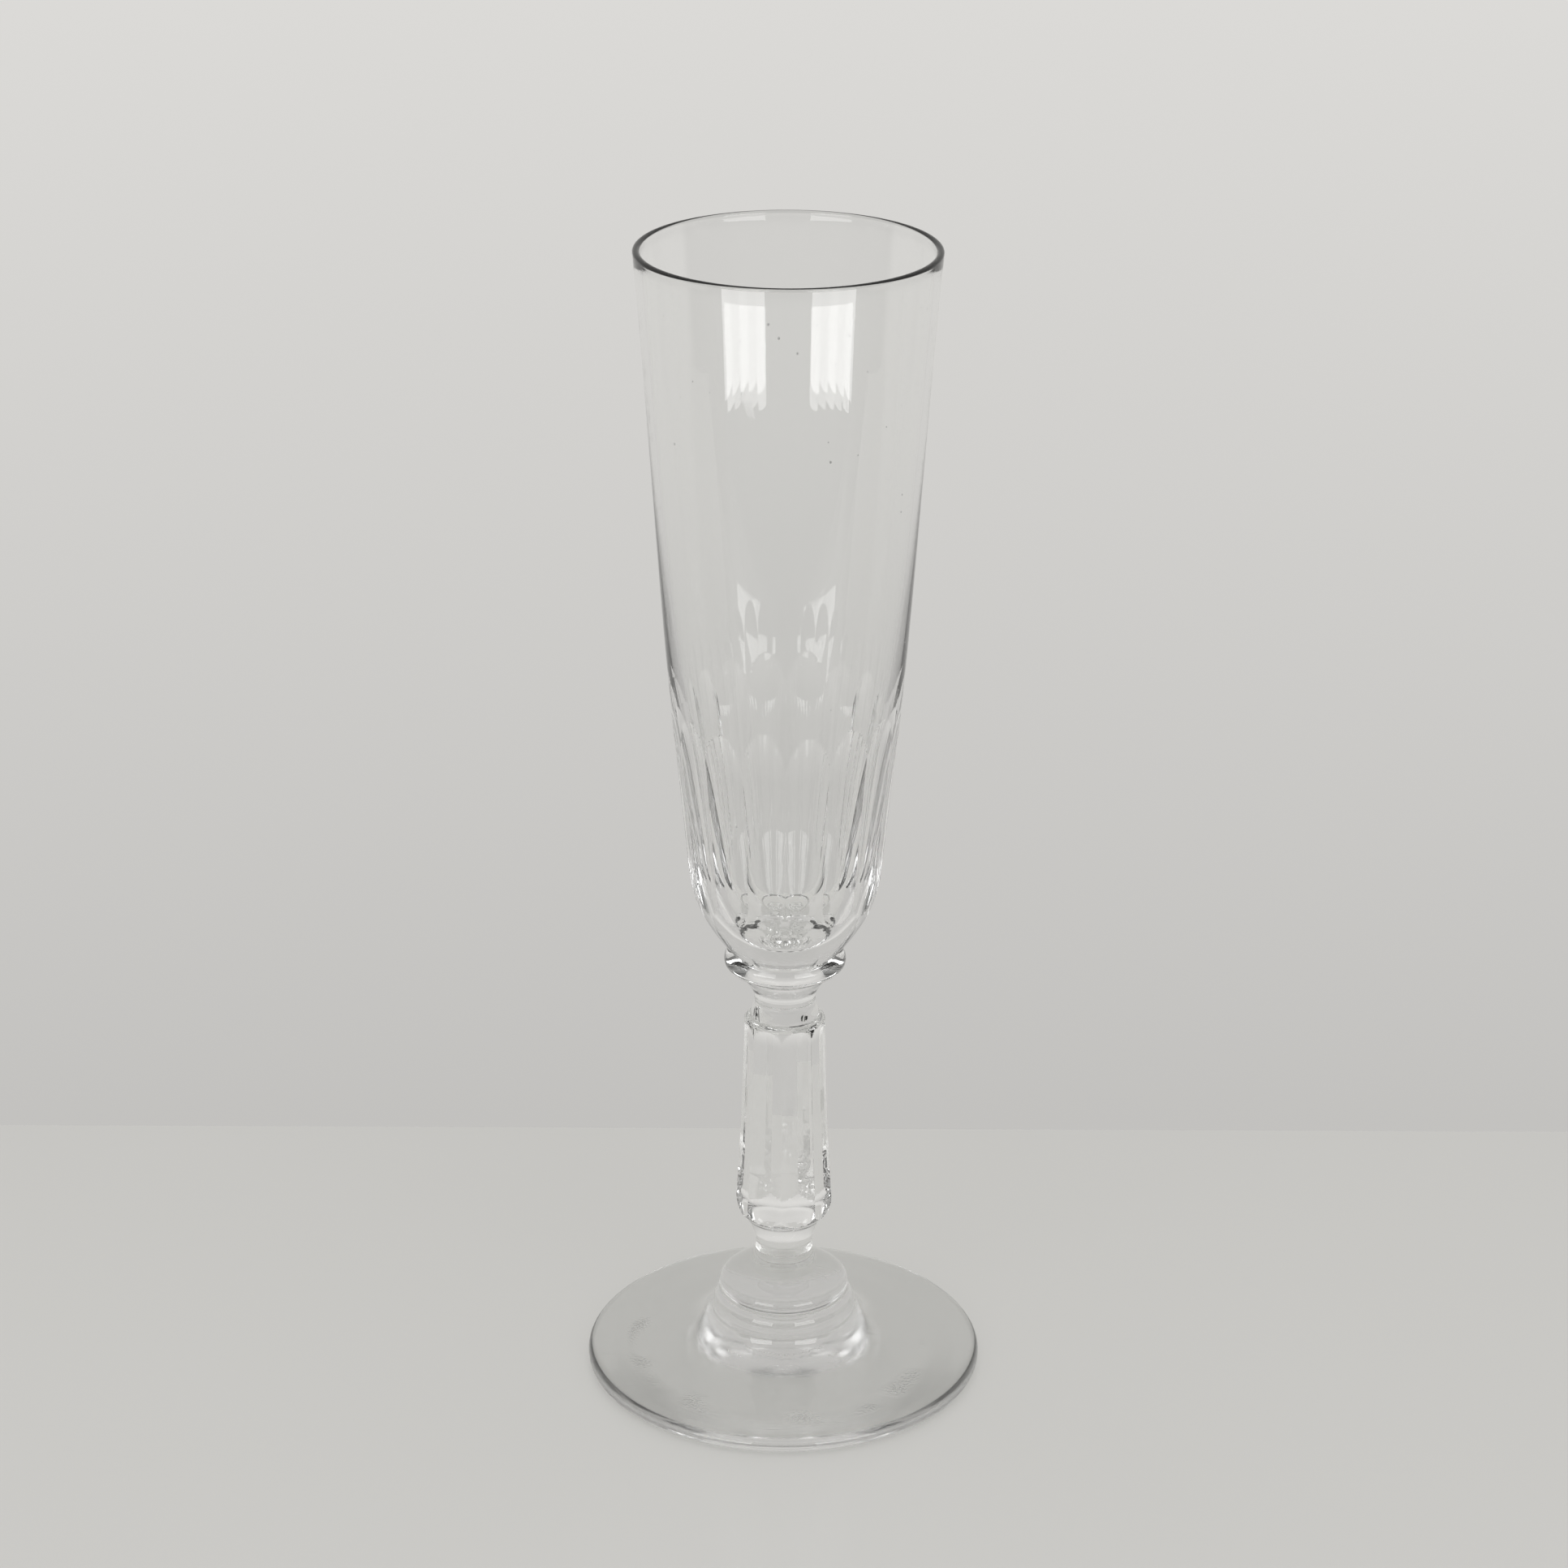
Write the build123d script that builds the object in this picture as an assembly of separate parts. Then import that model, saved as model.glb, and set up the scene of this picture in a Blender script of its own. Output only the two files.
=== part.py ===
"""A cut-glass champagne flute, built of the gathers of hot glass that a glassmaker fuses.

Five pieces stand on one axis, +Z up, each meeting the next face to face on a flat round joint:
foot, foot_collar, stem, bowl_collar and bowl. The origin is on the axis, at the level of the
ring that the foot stands on. Every piece is drawn from its own lower joint up.
"""
from build123d import *
from math import cos, pi
import os

# Foot: a thin shallow cone with a stepped boss in its middle, hollowed a little underneath.
foot_radius = 33.5
foot_edge = 2.7  # thickness of the rounded outer edge
foot_height = 12.95  # standing ring to the collar joint
cone_rise = 2.5  # how far the top climbs from the edge to the flare
flare_reach = 6.0  # how far the concave flare spreads out past the boss
boss_radius = 12.1
boss_height = 3.4  # bulging drum between the flare and the collar joint
ring_width = 7.5  # flat ring that the foot stands on
foot_hollow = 0.9  # depth of the hollow inside that ring
pontil_radius = 5.8  # polished dish where the iron rod was broken off
pontil_depth = 0.6

# Foot collar: a flattened bead between the boss and the stem.
collar_radius = 11.0
collar_height = 4.45
collar_joint_radius = 10.8  # where the collar sits on the boss

# Stem: an eight-sided baluster between two round necks.
stem_length = 51.4
foot_joint_radius = 5.6  # where the stem sits on the foot collar
low_neck_radius = 4.78
low_neck_length = 9.6  # foot collar to the ledge under the baluster
ledge_width = 1.8  # how far the baluster overhangs the lower neck
ledge_height = 3.4  # ledge to the widest place
knop_radius = 8.12  # widest place, across the corners
stem_top_radius = 6.75  # across the corners, under the upper shoulder
stem_sag = 0.2  # how far the taper curves in between those two
high_neck_radius = 5.08
high_neck_length = 4.0  # upper shoulder to the bowl collar
shoulder_length = 1.1  # rounded shoulder above the taper
bowl_neck_radius = 5.25  # where the stem meets the bowl collar
stem_sides = 8
stem_turn = -3.9  # degrees that the corner nearest the front is off it
corner_sink = 0.05  # how far the cut corners lie inside the round blank
facet_arch = 2.4  # length over which a facet runs out at its top

# Bowl collar: a lens-edged disc with a small cup under it.
merese_radius = 10.06
merese_height = 4.9
bowl_joint_radius = 9.1  # where the bowl sits on the disc
cup_radius = 6.85
cup_height = 3.2
groove_depth = 0.35  # between the cup and the disc

# Bowl: a tall taper with a thick base and a fine rim.
bowl_height = 118.1
rim_radius = 24.05
rim_wall = 1.15
rim_flare = 1.0  # how far the last stretch opens out
flare_length = 11.4
side_bow = 0.45  # how far the side swells out of a straight taper
shoulder_radius = 16.15  # outside, where the side turns in to the base
shoulder_height = 16.4
heel_radius = 13.7  # outside, in the bend between shoulder and joint
heel_height = 6.8
base_wall = 4.1  # solid glass under the hollow
shoulder_wall = 5.0
middle_wall = 1.9  # halfway from the shoulder to the flare
throat_wall = 1.3  # where the flare begins

# Cut panels round the lower bowl.
panel_count = 16
panel_turn = 0.0  # degrees that the ridge nearest the front is off it
panel_top = 44.1  # above the bowl's joint
panel_entry = 11.0  # length over which the cut runs in to its full depth
panel_depth = 0.45

STEEP = (0, 1)  # tangent of a profile that is climbing straight up
overcut = 1.0  # how far a cutter stands outside the surface that it cuts

# Levels of the joints.
foot_top = foot_height
collar_top = foot_top + collar_height
stem_top = collar_top + stem_length
merese_top = stem_top + cup_height + merese_height


def turned(*edges):
    """A solid turned about the axis from a closed profile, given as (radius, height)."""
    return revolve(Plane.XZ * make_face(list(edges)), Axis.Z)


def side_radius(curve, height):
    """Radius of a profile curve at a height."""
    crossing = curve.intersect(Line((0, height), (2 * rim_radius, height)))
    return crossing[0].X


def cut_round(blank, edges, reach, half_width, count, turn):
    """Cut flats round a blank: each takes off what lies outside a curve that climbs its side."""
    bottom = edges[0] @ 0
    top = edges[-1] @ 1
    outer = Polyline((top.X, top.Y), (reach, top.Y), (reach, bottom.Y), (bottom.X, bottom.Y))
    section = Plane.XZ * make_face([*edges, outer])
    cutter = extrude(section, amount=half_width, both=True)
    step = 360 / count
    for n in range(count):
        blank -= Rot(0, 0, turn - 90 + step * (n + 0.5)) * cutter
    return blank


def make_foot():
    edge = foot_edge / 2
    cone_top = foot_edge + cone_rise
    cone_inner = boss_radius + flare_reach
    drum_base = foot_height - boss_height
    flat_outer = foot_radius - edge
    flat_inner = flat_outer - ring_width
    dish_top = foot_hollow + pontil_depth
    rim_arc = ThreePointArc((flat_outer, 0), (foot_radius, edge), (flat_outer, foot_edge))
    cone = Line((flat_outer, foot_edge), (cone_inner, cone_top))
    flare = Spline(
        (cone_inner, cone_top),
        (boss_radius, drum_base),
        tangents=[(cone_inner - flat_outer, cone_rise), (-0.3, 1)],
    )
    drum = Spline(
        (boss_radius, drum_base),
        (collar_joint_radius, foot_height),
        tangents=[STEEP, (-1, 0.5)],
    )
    joint = Line((collar_joint_radius, foot_height), (0, foot_height))
    axis = Line((0, foot_height), (0, dish_top))
    pontil = Spline(
        (0, dish_top),
        (pontil_radius, foot_hollow),
        tangents=[(1, 0), (pontil_radius, -2 * pontil_depth)],
    )
    hollow = Spline(
        (pontil_radius, foot_hollow),
        (flat_inner, 0),
        tangents=[(1, 0), (1, -0.1)],
    )
    ring = Line((flat_inner, 0), (flat_outer, 0))
    return turned(rim_arc, cone, flare, drum, joint, axis, pontil, hollow, ring)


def make_foot_collar():
    bottom = foot_top
    crown = bottom + collar_height
    belly = bottom + 0.3 * collar_height
    base = Line((0, bottom), (collar_joint_radius, bottom))
    low = Spline(
        (collar_joint_radius, bottom),
        (collar_radius, belly),
        tangents=[(0.5, 1), STEEP],
    )
    dome = Spline(
        (collar_radius, belly),
        (foot_joint_radius, crown),
        tangents=[STEEP, (-1, 0.12)],
    )
    top = Line((foot_joint_radius, crown), (0, crown))
    axis = Line((0, crown), (0, bottom))
    return turned(base, low, dome, top, axis)


def make_stem():
    bottom = collar_top
    top = bottom + stem_length
    low_waist = bottom + 0.45 * low_neck_length
    ledge = bottom + low_neck_length
    knop = ledge + ledge_height
    high_shoulder = top - high_neck_length
    taper_top = high_shoulder - shoulder_length
    ledge_inner = knop_radius - ledge_width
    ring_radius = bowl_neck_radius + 0.35
    taper_middle = (0.5 * (knop_radius + stem_top_radius) - stem_sag, 0.5 * (knop + taper_top))

    base = Line((0, bottom), (foot_joint_radius, bottom))
    low_neck = Spline(
        (foot_joint_radius, bottom),
        (low_neck_radius, low_waist),
        (ledge_inner, ledge),
        tangents=[(-0.1, 1), (0.35, 1)],
    )
    ledge_curve = Spline(
        (ledge_inner, ledge),
        (knop_radius, knop),
        tangents=[(1, 0.55), STEEP],
    )
    taper = ThreePointArc((knop_radius, knop), taper_middle, (stem_top_radius, taper_top))
    shoulder = Spline(
        (stem_top_radius, taper_top),
        (ring_radius, high_shoulder),
        tangents=[STEEP, (-1, 0.25)],
    )
    high_neck = Spline(
        (ring_radius, high_shoulder),
        (high_neck_radius, top - 0.25 * high_neck_length),
        (bowl_neck_radius, top),
        tangents=[STEEP, (0.5, 1)],
    )
    lid = Line((bowl_neck_radius, top), (0, top))
    axis = Line((0, top), (0, bottom))
    blank = turned(base, low_neck, ledge_curve, taper, shoulder, high_neck, lid, axis)

    flat = cos(pi / stem_sides)
    low_flat = ((knop_radius - corner_sink) * flat, knop)
    middle_flat = ((taper_middle[0] - corner_sink) * flat, taper_middle[1])
    high_flat = ((stem_top_radius - corner_sink) * flat, taper_top - facet_arch)
    foot_run = Line((low_flat[0] + 0.1, ledge - overcut), low_flat)
    facet = ThreePointArc(low_flat, middle_flat, high_flat)
    arch = Spline(high_flat, (stem_top_radius, taper_top + 0.3), tangents=[STEEP, (0.6, 1)])
    reach = knop_radius + overcut
    return cut_round(blank, [foot_run, facet, arch], reach, knop_radius, stem_sides, stem_turn)


def make_bowl_collar():
    bottom = stem_top
    seam = bottom + cup_height
    top = seam + merese_height
    edge = top - 0.43 * merese_height
    base = Line((0, bottom), (bowl_neck_radius, bottom))
    cup = Spline(
        (bowl_neck_radius, bottom),
        (cup_radius, seam),
        tangents=[(0.2, 1), (0.2, 1)],
    )
    groove = Line((cup_radius, seam), (cup_radius - groove_depth, seam + 0.15))
    underside = Spline(
        (cup_radius - groove_depth, seam + 0.15),
        (merese_radius, edge),
        tangents=[(1, 0.5), STEEP],
    )
    shoulder = Spline(
        (merese_radius, edge),
        (bowl_joint_radius, top),
        tangents=[STEEP, (-1, 0.8)],
    )
    lid = Line((bowl_joint_radius, top), (0, top))
    axis = Line((0, top), (0, bottom))
    return turned(base, cup, groove, underside, shoulder, lid, axis)


def make_bowl():
    bottom = merese_top
    rim = bottom + bowl_height
    lip = rim - rim_wall / 2
    throat = rim - flare_length
    shoulder = bottom + shoulder_height
    middle = 0.5 * (shoulder + throat)
    throat_radius = rim_radius - rim_flare
    middle_radius = 0.5 * (shoulder_radius + throat_radius) + side_bow
    inner_shoulder = (shoulder_radius - shoulder_wall, shoulder)
    inner_throat = (throat_radius - throat_wall, throat)
    taper = throat_radius - shoulder_radius
    climb_low = (taper + 4 * side_bow, throat - shoulder)
    climb_high = (taper - 4 * side_bow, throat - shoulder)

    bend = Spline(
        (bowl_joint_radius, bottom),
        (heel_radius, bottom + heel_height),
        (shoulder_radius, shoulder),
        tangents=[(0.9, 1), climb_low],
    )
    side = ThreePointArc(
        (shoulder_radius, shoulder),
        (middle_radius, middle),
        (throat_radius, throat),
    )
    flare = Spline((throat_radius, throat), (rim_radius, lip), tangents=[climb_high, (0.13, 1)])
    rounding = ThreePointArc(
        (rim_radius, lip),
        (rim_radius - rim_wall / 2, rim),
        (rim_radius - rim_wall, lip),
    )
    inner_flare = Spline(
        inner_throat,
        (rim_radius - rim_wall, lip),
        tangents=[climb_high, (0.13, 1)],
    )
    inner_side = ThreePointArc(
        inner_shoulder,
        (middle_radius - middle_wall, middle),
        inner_throat,
    )
    well = Spline(
        (0, bottom + base_wall),
        inner_shoulder,
        tangents=[(1, 0), (0.25, 1)],
    )
    axis = Line((0, bottom + base_wall), (0, bottom))
    base = Line((0, bottom), (bowl_joint_radius, bottom))
    outside = [bend, side, flare, rounding]
    inside = [inner_flare, inner_side, well]
    blank = turned(base, *outside, *inside, axis)

    apex = bottom + panel_top
    full = apex - panel_entry
    face_low = (shoulder_radius - panel_depth, shoulder)
    face_high = (side_radius(side, full) - panel_depth, full)
    slope = (face_high[0] - face_low[0]) / (full - shoulder)
    run_out = shoulder - 0.75 * heel_height
    start = (face_low[0] - slope * (shoulder - run_out), run_out)
    face = Line(start, face_high)
    entry = Spline(
        face_high,
        (side_radius(side, apex), apex),
        tangents=[(slope, 1), (slope + 2 * panel_depth / panel_entry, 1)],
    )
    half_width = shoulder_radius / 2
    return cut_round(blank, [face, entry], rim_radius, half_width, panel_count, panel_turn)


NODES = {
    "foot": make_foot,
    "foot_collar": make_foot_collar,
    "stem": make_stem,
    "bowl_collar": make_bowl_collar,
    "bowl": make_bowl,
}

os.makedirs("parts", exist_ok=True)
for name, make in NODES.items():
    solid = make()
    solid.label = name
    export_step(solid, f"parts/{name}.step")
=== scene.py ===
"""Champagne flute: turns its five gathers of glass, cuts their facets and panels, and sets the stage.

Run as a script: every piece is made by its own operator, in metres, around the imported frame.
"""
import math
import random

import bpy
import numpy as np
from bpy.props import FloatProperty, FloatVectorProperty, IntProperty, PointerProperty
from mathutils import Matrix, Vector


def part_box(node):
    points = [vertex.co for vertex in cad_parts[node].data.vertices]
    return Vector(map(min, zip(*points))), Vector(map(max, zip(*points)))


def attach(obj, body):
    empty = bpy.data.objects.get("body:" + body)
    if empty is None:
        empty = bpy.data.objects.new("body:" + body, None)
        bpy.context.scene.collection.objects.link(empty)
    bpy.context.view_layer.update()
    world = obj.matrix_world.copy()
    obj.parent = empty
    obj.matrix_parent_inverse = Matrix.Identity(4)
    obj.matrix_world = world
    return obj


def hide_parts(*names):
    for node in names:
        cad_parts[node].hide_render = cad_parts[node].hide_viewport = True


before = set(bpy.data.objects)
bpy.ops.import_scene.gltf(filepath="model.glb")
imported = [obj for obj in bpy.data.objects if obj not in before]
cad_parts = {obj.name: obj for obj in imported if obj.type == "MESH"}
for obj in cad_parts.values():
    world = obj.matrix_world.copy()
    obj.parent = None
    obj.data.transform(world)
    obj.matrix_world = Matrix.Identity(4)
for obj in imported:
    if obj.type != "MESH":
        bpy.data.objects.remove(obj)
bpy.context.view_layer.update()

bl_info = {
    "name": "Champagne Flute",
    "version": (1, 0, 0),
    "blender": (4, 5, 0),
    "location": "View3D > Sidebar > Flute",
    "description": "Builds a cut-glass champagne flute piece by piece",
    "category": "Add Mesh",
}

MM = 0.001
UP = (0.0, 1.0)
LEVEL = (1.0, 0.0)

ROUND_SEGMENTS = 192  # round a turned piece with no cuts
CUT_COLUMNS = 24  # columns of vertices across one facet or panel
START_RADIUS = 0.15 * MM  # of the circle that each piece is raised from
HOLD = 0.12 * MM  # from the lip down to the rows that keep its edge tight
HAIR = 0.01 * MM  # small enough not to show

# How far the bowl's wall leans out for each unit of height, where one curve meets the next.
SIDE_SLOPE = 0.070
LIP_SLOPE = 0.085
INNER_LIP_SLOPE = 0.18
INNER_RIM_SLOPE = 0.088
INNER_THROAT_SLOPE = 0.075
INNER_SHOULDER_SLOPE = 0.25

# The lip opens out inside over this height, by this much.
MOUTH_HEIGHT = 1.7 * MM
MOUTH_WIDENING = 0.24 * MM

# Spacing of the bowl's rows below the panels' arches, across them and above them.
LOW_ROWS = 1.5 * MM
ARCH_ROWS = 0.22 * MM
HIGH_ROWS = 2.4 * MM
ARCH_MARGIN = 2 * MM
SIDE_SAMPLES = 200

CROWDING = 0.85  # of columns beside a ridge, from 0 for even to 1

GLASS_IOR = 1.52
AIR_IN_GLASS_IOR = 0.66
SHADOW_CLEARNESS = 0.90  # share of lamplight that one skin of glass lets through
WORN_HEIGHT = 1.9 * MM  # the foot's underside lies below this

TABLE_MOTTLE = 0.015  # lighter and darker than the table's colour
TABLE_GAP = 0.1 * MM  # keeps the foot's ring off the table
LAMP_DISTANCE = 1.2
WINDOWS = (("left", -51.0, -17.5), ("right", 18.0, 52.0))  # degrees from the front
WINDOW_SILL = 0.22
WINDOW_HEAD = 0.75
GLOW_STRIPS = (1.0, 0.86, 1.04, 0.9, 1.0)
GLOW_LOW = -0.372
GLOW_HIGH = -0.22
LIGHT_BOUNCES = 20
GLOSSY_BOUNCES = 8
TRANSPARENT_BOUNCES = 16

CAMERA_PLACE = (-0.0003, -0.5981, 0.3526)
CAMERA_PITCH = 67.5775
CAMERA_ROLL = 0.25
CAMERA_SENSOR = 36
CAMERA_LENS = 91.535

# A Mix node's colour sockets, by number, because its number sockets have the same names.
MIX_COLOR_A = 6
MIX_COLOR_B = 7
MIX_COLOR_RESULT = 2

# The frame gives the joints' levels and the widest radius of each piece.
BOX = {node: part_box(node) for node in ("foot", "foot_collar", "stem", "bowl_collar", "bowl")}
BASE = BOX["foot"][0][2]
FOOT_TOP = BOX["foot"][1][2]
COLLAR_TOP = BOX["foot_collar"][1][2]
STEM_TOP = BOX["stem"][1][2]
MERESE_TOP = BOX["bowl_collar"][1][2]
RIM = BOX["bowl"][1][2]
WIDTH = {node: box[1][0] for node, box in BOX.items()}


# ------------------------------------------------------------------ sizes and colours


def length(name, default_mm, description):
    """A length property, with its default in millimetres."""
    return FloatProperty(
        name=name,
        description=description,
        default=default_mm * MM,
        precision=5,
        subtype="DISTANCE",
        unit="LENGTH",
    )


class FluteFootSizes(bpy.types.PropertyGroup):
    edge: length("Edge", 2.7, "Thickness of the rounded outer edge")
    cone_rise: length("Cone rise", 2.5, "How far the top climbs from the edge to the flare")
    flare_reach: length("Flare reach", 6.0, "How far the flare spreads out past the boss")
    boss_radius: length("Boss radius", 12.1, "Radius of the drum in the middle of the foot")
    boss_height: length("Boss height", 3.4, "Height of that drum")
    ring_width: length("Ring width", 7.5, "Width of the ring that the foot stands on")
    hollow: length("Hollow", 0.9, "Depth of the hollow inside the standing ring")
    pontil_radius: length("Pontil radius", 5.8, "Radius of the polished dish underneath")
    pontil_depth: length("Pontil depth", 0.6, "Depth of the polished dish")
    joint_radius: length("Collar joint", 10.8, "Radius where the collar sits on the boss")


class FluteStemSizes(bpy.types.PropertyGroup):
    joint_radius: length("Foot joint", 5.6, "Radius where the stem sits on the foot collar")
    low_neck: length("Lower neck", 4.78, "Radius of the lower neck")
    low_neck_length: length("Lower neck length", 9.6, "Foot collar to the ledge")
    ledge_width: length("Ledge width", 1.8, "Overhang of the baluster past the lower neck")
    ledge_height: length("Ledge height", 3.4, "Ledge to the widest place")
    knop_radius: length("Knop radius", 8.12, "Widest place, across the corners")
    top_radius: length("Top radius", 6.75, "Across the corners, under the upper shoulder")
    sag: length("Sag", 0.2, "How far the taper curves in")
    high_neck: length("Upper neck", 5.08, "Radius of the upper neck")
    high_neck_length: length("Upper neck length", 4.0, "Upper shoulder to the bowl collar")
    shoulder: length("Shoulder", 1.1, "Height of the rounded upper shoulder")
    bowl_neck: length("Bowl collar joint", 5.25, "Radius where the stem meets the bowl collar")
    arch: length("Facet arch", 2.4, "Length over which a facet runs out at its top")
    sides: IntProperty(name="Sides", description="Number of facets", default=8)
    turn: FloatProperty(
        name="Turn",
        description="How far the corner nearest the front is off it",
        default=math.radians(-3.9),
        subtype="ANGLE",
        unit="ROTATION",
    )


class FluteBowlSizes(bpy.types.PropertyGroup):
    joint_radius: length("Bowl joint", 9.1, "Radius where the bowl sits on its collar")
    cup_radius: length("Cup radius", 6.85, "Radius of the small cup under the collar disc")
    cup_height: length("Cup height", 3.2, "Height of that cup")
    groove: length("Groove", 0.35, "Depth of the groove between cup and disc")
    rim_wall: length("Rim wall", 1.15, "Wall at the rim")
    lip_height: length("Lip height", 0.45, "How far the fire-polished lip is rounded over")
    rim_flare: length("Rim flare", 1.0, "How far the last stretch opens out")
    flare_length: length("Flare length", 11.4, "Length of that stretch")
    side_bow: length("Side bow", 0.45, "How far the side swells out of a straight taper")
    shoulder_radius: length("Shoulder radius", 16.15, "Where the side turns in to the base")
    shoulder_height: length("Shoulder height", 16.4, "Height of the shoulder over the joint")
    heel_radius: length("Heel radius", 13.7, "Radius in the bend of the base")
    heel_height: length("Heel height", 6.8, "Height of that place over the joint")
    base_wall: length("Base wall", 4.1, "Solid glass under the hollow")
    shoulder_wall: length("Shoulder wall", 5.0, "Wall at the shoulder")
    throat_wall: length("Throat wall", 1.3, "Wall where the flare begins")
    panel_top: length("Panel top", 44.1, "Height of the panels' arches over the joint")
    panel_entry: length("Panel entry", 10.0, "Length over which a cut runs in")
    panel_depth: length("Panel depth", 0.45, "Depth of the cut panels, measured as if they were flat")
    panel_hollow: length("Panel hollow", 0.3, "How far a panel is hollowed between its ridges")
    panels: IntProperty(name="Panels", description="Number of cut panels", default=16)


class FluteLooks(bpy.types.PropertyGroup):
    glass: FloatVectorProperty(
        name="Glass",
        description="Tint of the glass",
        subtype="COLOR",
        default=(0.997, 0.999, 0.995),
        min=0.0,
        max=1.0,
    )
    table: FloatVectorProperty(
        name="Table",
        description="Colour of the table",
        subtype="COLOR",
        default=(0.61, 0.605, 0.588),
        min=0.0,
        max=1.0,
    )
    wall: FloatVectorProperty(
        name="Wall",
        description="Light from the wall behind the flute",
        subtype="COLOR",
        default=(0.72, 0.71, 0.69),
        min=0.0,
        max=1.0,
    )
    wall_top: FloatProperty(name="Wall top", description="How far the wall fades above", default=0.72)
    soft_light: FloatProperty(name="Soft light", description="Watts over the table", default=11.5)
    room: FloatProperty(name="Room", description="Light from the dim room in front", default=0.10)
    floor: FloatProperty(name="Floor", description="Light from the floor in front", default=0.78)
    ceiling: FloatProperty(name="Ceiling", description="Light from above", default=0.42)
    window: FloatProperty(name="Window", description="Brightness of the windows", default=2.8)
    glow: FloatProperty(name="Glow", description="Brightness of the windows' glow", default=1.32)


# ------------------------------------------------------------------ outlines


def bend(start, start_way, end, end_way, steps):
    """Points of a smooth curve from start to end, without start, leaving and arriving along ways."""
    chord = math.dist(start, end)
    start_pull = [w * chord / math.hypot(*start_way) for w in start_way]
    end_pull = [w * chord / math.hypot(*end_way) for w in end_way]
    points = []
    for step in range(1, steps + 1):
        t = step / steps
        weights = (2 * t**3 - 3 * t**2 + 1, t**3 - 2 * t**2 + t, 3 * t**2 - 2 * t**3, t**3 - t**2)
        parts = (start, start_pull, end, end_pull)
        points.append(tuple(sum(w * p[i] for w, p in zip(weights, parts)) for i in (0, 1)))
    return points


def run(start, end, steps):
    """Points of a straight run from start to end, without start."""
    return bend(start, (end[0] - start[0], end[1] - start[1]), end,
                (end[0] - start[0], end[1] - start[1]), steps)


def bowed(start, end, bow, steps):
    """Points of a run that swells out by bow half way, without start."""
    points = []
    for step in range(1, steps + 1):
        t = step / steps
        radius = start[0] + (end[0] - start[0]) * t + 4 * bow * t * (1 - t)
        points.append((radius, start[1] + (end[1] - start[1]) * t))
    return points


def foot_outline(sizes):
    """From the dish underneath, out round the edge and up the boss to its joint."""
    edge = sizes.edge / 2
    flat_outer = WIDTH["foot"] - edge
    flat_inner = flat_outer - sizes.ring_width
    cone_top = BASE + sizes.edge + sizes.cone_rise
    cone_inner = sizes.boss_radius + sizes.flare_reach
    drum_base = FOOT_TOP - sizes.boss_height
    dish_rim = BASE + sizes.hollow
    dish_top = dish_rim + sizes.pontil_depth
    slope = (cone_inner - flat_outer, sizes.cone_rise)
    outline = [(0.0, dish_top)]
    outline += bend(outline[-1], LEVEL, (sizes.pontil_radius, dish_rim),
                    (sizes.pontil_radius, -2 * sizes.pontil_depth), 8)
    outline += bend(outline[-1], LEVEL, (flat_inner, BASE), (1, -0.1), 16)
    outline += run(outline[-1], (flat_outer, BASE), 5)
    for step in range(1, 13):
        angle = math.pi * step / 12
        outline.append((flat_outer + edge * math.sin(angle), BASE + edge * (1 - math.cos(angle))))
    outline += run(outline[-1], (cone_inner, cone_top), 12)
    outline += bend(outline[-1], slope, (sizes.boss_radius, drum_base), (-0.3, 1), 14)
    outline += bend(outline[-1], UP, (sizes.joint_radius, FOOT_TOP), (-1, 0.5), 10)
    outline.append((0.0, FOOT_TOP))
    return outline


def foot_collar_outline(sizes, stem):
    """A flattened bead, widest low down."""
    tall = COLLAR_TOP - FOOT_TOP
    belly = (WIDTH["foot_collar"], FOOT_TOP + 0.3 * tall)
    outline = [(0.0, FOOT_TOP), (sizes.joint_radius, FOOT_TOP)]
    outline += bend(outline[-1], (0.5, 1), belly, UP, 6)
    outline += bend(belly, UP, (stem.joint_radius, COLLAR_TOP), (-1, 0.12), 20)
    outline.append((0.0, COLLAR_TOP))
    return outline


def stem_levels(sizes):
    """Heights of the stem's ledge, knop, top of the taper and upper shoulder."""
    ledge = COLLAR_TOP + sizes.low_neck_length
    high_shoulder = STEM_TOP - sizes.high_neck_length
    return ledge, ledge + sizes.ledge_height, high_shoulder - sizes.shoulder, high_shoulder


def stem_outline(sizes):
    """Lower neck, ledge, knop, taper, upper shoulder and upper neck, before the facets are cut."""
    ledge, knop, taper_top, high_shoulder = stem_levels(sizes)
    waist = (sizes.low_neck, COLLAR_TOP + 0.45 * sizes.low_neck_length)
    lip = (sizes.knop_radius - sizes.ledge_width, ledge)
    ring = (sizes.bowl_neck + 0.35 * MM, high_shoulder)
    high_waist = (sizes.high_neck, STEM_TOP - 0.25 * sizes.high_neck_length)
    outline = [(0.0, COLLAR_TOP), (sizes.joint_radius, COLLAR_TOP)]
    outline += bend(outline[-1], (-0.1, 1), waist, UP, 8)
    outline += bend(waist, UP, lip, (0.45, 1), 8)
    outline += bend(lip, (1, 0.55), (sizes.knop_radius, knop), UP, 14)
    outline += bowed(outline[-1], (sizes.top_radius, taper_top), -sizes.sag, 90)
    outline += bend(outline[-1], UP, ring, (-1, 0.25), 14)
    outline += bend(ring, UP, high_waist, UP, 8)
    outline += bend(high_waist, UP, (sizes.bowl_neck, STEM_TOP), (0.5, 1), 4)
    outline.append((0.0, STEM_TOP))
    return outline


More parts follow.
